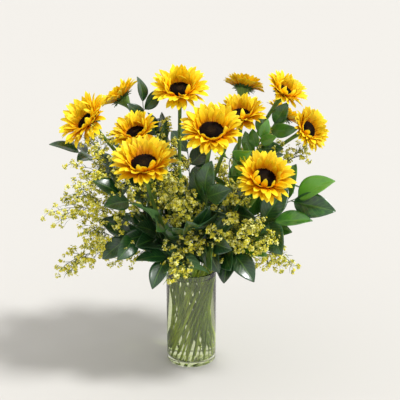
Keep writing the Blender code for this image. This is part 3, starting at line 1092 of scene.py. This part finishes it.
@dataclass
class LeafyBranch:
    """A twig with broad, pointed, glossy leaves."""

    number: int
    route: TwigRoute
    thick: float = 0.0022
    thin: float = 0.0008
    slant: float = 50.0
    leaf_thickness: float = 0.0005
    leaf_faces: tuple = (8, 14)  # across and along
    tip: float = 0.99  # where the last leaf grows, as a share of the bend
    low_pairs: tuple = (0.26, 0.13)  # how far under the first pair the two extra ones grow
    stagger: tuple = (-0.02, 0.03)  # how far the leaves of a pair are moved along the bend
    fork_first: float = 0.35  # where a fork's pairs begin
    fork_span: float = 0.55  # how much of the fork they take up
    fork_stagger: tuple = (-0.05, 0.05)

    def __post_init__(self) -> None:
        """Name the branch and seed its draws."""
        self.name = f"branch_{self.number:02d}"
        self.draws = random.Random(BRANCH_SEED + self.number)

    def leaf(self, bm: BMesh, bend: Bend, share: float, out: float, size: float = 1.0) -> None:
        """Add one leaf.

        Args:
            bm: what the leaf is added to.
            bend: the twig it grows on.
            share: where on the bend it grows.
            out: 1 or -1 for the sides of the twig, 0 for the leaf at its tip.
            size: of the leaf, where 1 is a full leaf of this branch.
        """
        draws = self.draws
        plan = self.route.plan
        ahead, upper, side = bend.ways(share)
        front = (FRONT - ahead * FRONT.dot(ahead)).normalized()
        turn = math.radians(plan.turn)
        upper = (upper * math.cos(turn) + front * math.sin(turn)).normalized()
        side = upper.cross(ahead)
        slant = math.radians(self.slant + draws.gauss(0, 9)) if out else 0.0
        way = ahead * math.cos(slant) + side * out * math.sin(slant) + upper * draws.gauss(0.05, 0.12)
        upper = upper + side * draws.gauss(0, 0.22) + ahead * draws.gauss(0, 0.15)
        Blade(
            frame=frame_from(bend.at(share), way.normalized(), upper),
            outline=Outline.LEAF,
            length=plan.length * size * draws.uniform(1.05, 1.35),
            width=plan.width * size * draws.uniform(1.3, 1.65),
            rise=draws.uniform(6, 20),
            fall=draws.uniform(-42, -10),
            fold=draws.uniform(8, 24),
            twist=draws.gauss(0, 14),
            wave=draws.uniform(0.02, 0.09),
            phase=draws.uniform(0, math.tau),
            tone=min(1.0, 0.55 * draws.random() + plan.painted_sunlight),
        ).add_to(bm, *self.leaf_faces)

    def build(self, wardrobe: Wardrobe) -> None:
        """Make the twig and its leaves."""
        twig = new_sheet_bmesh()
        add_tube(twig, self.route.tube_route(self.thick, self.thin, 18), 8)
        for _, bend in self.route.forks:
            add_tube(twig, bend.route((self.thick + self.thin) / 2, self.thin, 8), 6)
        bmesh.ops.recalc_face_normals(twig, faces=twig.faces)
        finish_piece(twig, self.name + "_twig", [wardrobe.twig], (self.name,))
        leaves = new_sheet_bmesh()
        shares = self.route.pair_shares()
        for share in [*(shares[0] - under for under in self.low_pairs), *shares]:
            for out, shift in zip((1.0, -1.0), self.stagger):
                self.leaf(leaves, self.route.bend, share + shift, out)
        self.leaf(leaves, self.route.bend, self.tip, 0.0)
        for fork, bend in self.route.forks:
            for pair in range(fork.pairs):
                share = self.fork_first + self.fork_span * pair / (fork.pairs - 1)
                for out, shift in zip((1.0, -1.0), self.fork_stagger):
                    self.leaf(leaves, bend, share + shift, out, fork.size)
            self.leaf(leaves, bend, self.tip, 0.0, fork.size)
        both_sides = [wardrobe.leaf_top, wardrobe.leaf_back]
        piece = finish_piece(leaves, self.name + "_leaves", both_sides)
        thicken(piece, self.leaf_thickness, other_side=True)


@dataclass
class FillerSprig:
    """A fine stem whose side shoots fork into threads with needle leaves and tiny blossoms."""

    number: int
    route: TwigRoute
    thick: float = 0.0011
    thin: float = 0.0005
    thread: float = 0.00032
    slant: float = 50.0
    shoots: int = 16
    fork_shoots: int = 8
    forks: int = 6
    blossoms_per_fork: int = 12
    wisps: int = 3
    wisp_needles: int = 5
    needle_width: float = 0.0018
    needle_thickness: float = 0.00025
    needle_faces: tuple = (2, 4)  # across and along
    needle_chance: float = 0.5  # of one at the foot of a fork
    sag: float = 0.12  # how far a shoot's tip sinks, as a share of its length
    droop: float = 0.2  # the same for a wisp
    early: float = 0.12  # how far under the plan's start the shoots begin, as a share of the bend
    fork_first: float = 0.35  # where a fork's shoots begin
    last_shoot: float = 0.97  # where the spiral of shoots ends
    longest: float = 1.25  # the first shoot, as a share of the plan's length
    shortening: float = 0.6  # how much less the last one is

    def __post_init__(self) -> None:
        """Name the sprig and seed its draws."""
        self.name = f"sprig_{self.number:02d}"
        self.draws = random.Random(SPRIG_SEED + self.number)
        self.stems = new_sheet_bmesh()
        self.flowers = new_sheet_bmesh()
        self.needles = new_sheet_bmesh()

    def scatter(self, size: float) -> Vector:
        """A small random offset."""
        return Vector(self.draws.uniform(-size, size) for _ in range(3))

    def needle(self, needles: BMesh, place: Vector, way: Vector) -> None:
        """Add one narrow leaf."""
        draws = self.draws
        upper = UP + self.scatter(0.4)
        Blade(
            frame=frame_from(place, (way + self.scatter(0.5)).normalized(), upper),
            outline=Outline.BRACT,
            length=draws.uniform(0.010, 0.018),
            width=self.needle_width,
            rise=draws.uniform(10, 30),
            fall=draws.uniform(-30, 20),
            fold=15,
            tone=draws.random(),
        ).add_to(needles, *self.needle_faces)

    def shoot(self, root: Vector, way: Vector, length: float, blossom: Mesh) -> None:
        """Add a side shoot that forks into threads, each with a few blossoms.

        Args:
            root: where it leaves the stem.
            way: the direction it leaves in.
            length: how long it is.
            blossom: the shape of one blossom.
        """
        draws = self.draws
        stems, needles, flowers = (new_sheet_bmesh() for _ in range(3))
        across = way.orthogonal().normalized()
        tip = root + way * length - UP * self.sag * length + self.scatter(0.004)
        middle = root.lerp(tip, 0.5) + across * draws.uniform(-0.003, 0.003)
        add_tube(stems, [(root, self.thin), (middle, self.thin * 0.8), (tip, self.thread)], 4)
        self.needle(needles, root.lerp(tip, 0.2), way)
        for fork in range(self.forks):
            share = 0.2 + 0.8 * fork / (self.forks - 1)
            start = root.lerp(middle, share * 2) if share < 0.5 else middle.lerp(tip, share * 2 - 1)
            turned = Matrix.Rotation(fork * GOLDEN_ANGLE, 3, way) @ across
            out = (turned * draws.uniform(0.5, 1.0) + way * 0.8).normalized()
            end = start + out * draws.uniform(0.008, 0.017)
            add_tube(stems, [(start, self.thread), (end, self.thread * 0.8)], 3)
            if draws.random() < self.needle_chance:
                self.needle(needles, start, out)
            for _ in range(self.blossoms_per_fork):
                spot = start.lerp(end, draws.uniform(0.7, 1.1)) + self.scatter(0.0038)
                face = (spot - start).normalized() + UP * 0.35 + self.scatter(0.5)
                place = (
                    Matrix.Translation(spot)
                    @ face.normalized().to_track_quat("Z", "Y").to_matrix().to_4x4()
                    @ Matrix.Rotation(draws.uniform(0, math.tau), 4, "Z")
                    @ Matrix.Scale(draws.uniform(0.0020, 0.0034), 4)
                )
                stamp(flowers, blossom, place, draws.random())
        pour(stems, self.stems)
        pour(needles, self.needles)
        pour(flowers, self.flowers)

    def clothe(self, bend: Bend, start: float, shoots: int, blossom: Mesh) -> None:
        """Grow shoots in a spiral along a bend, shorter towards its end, and one at the end.

        Args:
            bend: what they grow on.
            start: share of the bend below the first.
            shoots: how many there are.
            blossom: the shape of one blossom.
        """
        draws = self.draws
        for step in range(shoots):
            share = start + (self.last_shoot - start) * step / (shoots - 1)
            ahead, _, side = bend.ways(share)
            slant = math.radians(self.slant + draws.gauss(0, 8))
            out = Matrix.Rotation(step * GOLDEN_ANGLE, 3, ahead) @ side
            way = ahead * math.cos(slant) + out * math.sin(slant)
            size = self.longest - self.shortening * step / shoots
            reach = self.route.plan.length * size * draws.uniform(0.85, 1.15)
            self.shoot(bend.at(share), way.normalized(), reach, blossom)
        self.shoot(bend.at(1.0), bend.ways(0.99)[0], self.route.plan.length, blossom)
        for _ in range(self.wisps):
            self.wisp(bend.at(draws.uniform(0.8, 1.0)), bend.ways(0.95)[0])

    def wisp(self, root: Vector, way: Vector) -> None:
        """Add a long bare thread that droops and carries a few needles only."""
        draws = self.draws
        way = (way + self.scatter(0.45)).normalized()
        length = draws.uniform(0.035, 0.055)
        bend = Bend(root, way, root + way * length - UP * self.droop * length, way - UP * 0.5)
        add_tube(self.stems, bend.route(self.thread * 1.3, self.thread * 0.7, 5), 4)
        for step in range(self.wisp_needles):
            share = 0.35 + 0.16 * step
            self.needle(self.needles, bend.at(share), bend.ways(share)[0])

    def build(self, wardrobe: Wardrobe, blossom: Mesh) -> None:
        """Make the stems, needles and blossoms."""
        route = self.route
        add_tube(self.stems, route.tube_route(self.thick, self.thin, 14), 6)
        self.clothe(route.bend, route.plan.start - self.early, self.shoots, blossom)
        for _, bend in route.forks:
            add_tube(self.stems, bend.route(self.thin * 1.3, self.thin, 8), 5)
            self.clothe(bend, self.fork_first, self.fork_shoots, blossom)
        bmesh.ops.recalc_face_normals(self.stems, faces=self.stems.faces)
        finish_piece(self.stems, self.name + "_stems", [wardrobe.sprig], (self.name,))
        needles = finish_piece(self.needles, self.name + "_needles", [wardrobe.needle])
        thicken(needles, self.needle_thickness)
        finish_piece(self.flowers, self.name + "_blossoms", [wardrobe.blossom])


def blossom_shape() -> Mesh:
    """A unit blossom: a flat five-pointed star with a raised eye, facing +Z."""
    bm = new_sheet_bmesh()
    bmesh.ops.create_cone(bm, cap_ends=True, segments=10, radius1=0.4, radius2=1.0, depth=0.35)
    for vert in bm.verts:
        corner = round(math.atan2(vert.co.y, vert.co.x) / math.tau * 10)
        if vert.co.z > 0 and corner % 2:
            vert.co.x *= 0.5
            vert.co.y *= 0.5
    top = max(bm.faces, key=lambda face: face.calc_center_median().z)
    bmesh.ops.inset_individual(bm, faces=[top], thickness=0.25, depth=0.22)
    return to_mesh(bm, "blossom")


# ---------------------------------------------------------------------------
# Studio


@dataclass
class Studio:
    """Camera, sun, floor and sky. The sun's way is from the bouquet to the sun."""

    camera_place: tuple = (0.018, -1.5, 0.78)
    camera_aim: tuple = (0.018, 0.0, 0.345)
    lens: float = 70.65
    sun_way: tuple = (0.60, -0.24, 1.00)
    sun_strength: float = 2.6
    sun_angle: float = 12.0
    world_colour: str = "#FFFDFA"
    world_strength: float = 0.76
    floor_half: float = 60.0

    def aim(self, item: Object, way: Vector) -> None:
        """Turn a camera or lamp, whose own -Z looks ahead, along a direction."""
        item.rotation_euler = way.to_track_quat("-Z", "Y").to_euler()

    def build_camera(self) -> None:
        """Add the camera."""
        data = bpy.data.cameras.new("camera")
        data.lens = self.lens
        camera = add_object("camera", data)
        camera.location = self.camera_place
        self.aim(camera, Vector(self.camera_aim) - camera.location)
        bpy.context.scene.camera = camera

    def build(self, wardrobe: Wardrobe) -> None:
        """Add the camera, the sun, the floor and the sky."""
        self.build_camera()
        light = bpy.data.lights.new("sun", "SUN")
        light.energy = self.sun_strength
        light.angle = math.radians(self.sun_angle)
        sun = add_object("sun", light)
        self.aim(sun, -Vector(self.sun_way))
        bm = bmesh.new()
        bmesh.ops.create_grid(bm, x_segments=1, y_segments=1, size=self.floor_half)
        mesh = to_mesh(bm, "floor")
        mesh.materials.append(wardrobe.floor)
        add_object("floor", mesh)
        world = bpy.data.worlds.new("studio")
        world.use_nodes = True
        sky = world.node_tree.nodes["Background"]
        sky.inputs["Color"].default_value = linear(self.world_colour)
        sky.inputs["Strength"].default_value = self.world_strength
        bpy.context.scene.world = world
        bpy.context.scene.view_settings.view_transform = "Standard"


def main() -> None:
    """Build every piece in order."""
    logging.basicConfig(level=logging.INFO, format="%(name)s: %(message)s")
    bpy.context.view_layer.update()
    wardrobe = Wardrobe()
    Studio().build(wardrobe)
    Vase().build(wardrobe)
    floret = floret_shape()
    for number in range(1, SUNFLOWERS + 1):
        Sunflower(number, BLOOMS.get(number, Bloom())).build(wardrobe, floret)
    blossom = blossom_shape()
    counts = {Growth.LEAVES: 0, Growth.BLOSSOM: 0}
    for slot, plan in enumerate(TWIG_PLANS):
        counts[plan.growth] += 1
        route = TwigRoute(plan, slot)
        if plan.growth is Growth.LEAVES:
            LeafyBranch(counts[plan.growth], route).build(wardrobe)
        else:
            FillerSprig(counts[plan.growth], route).build(wardrobe, blossom)


if __name__ == "__main__":
    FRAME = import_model()
    main()
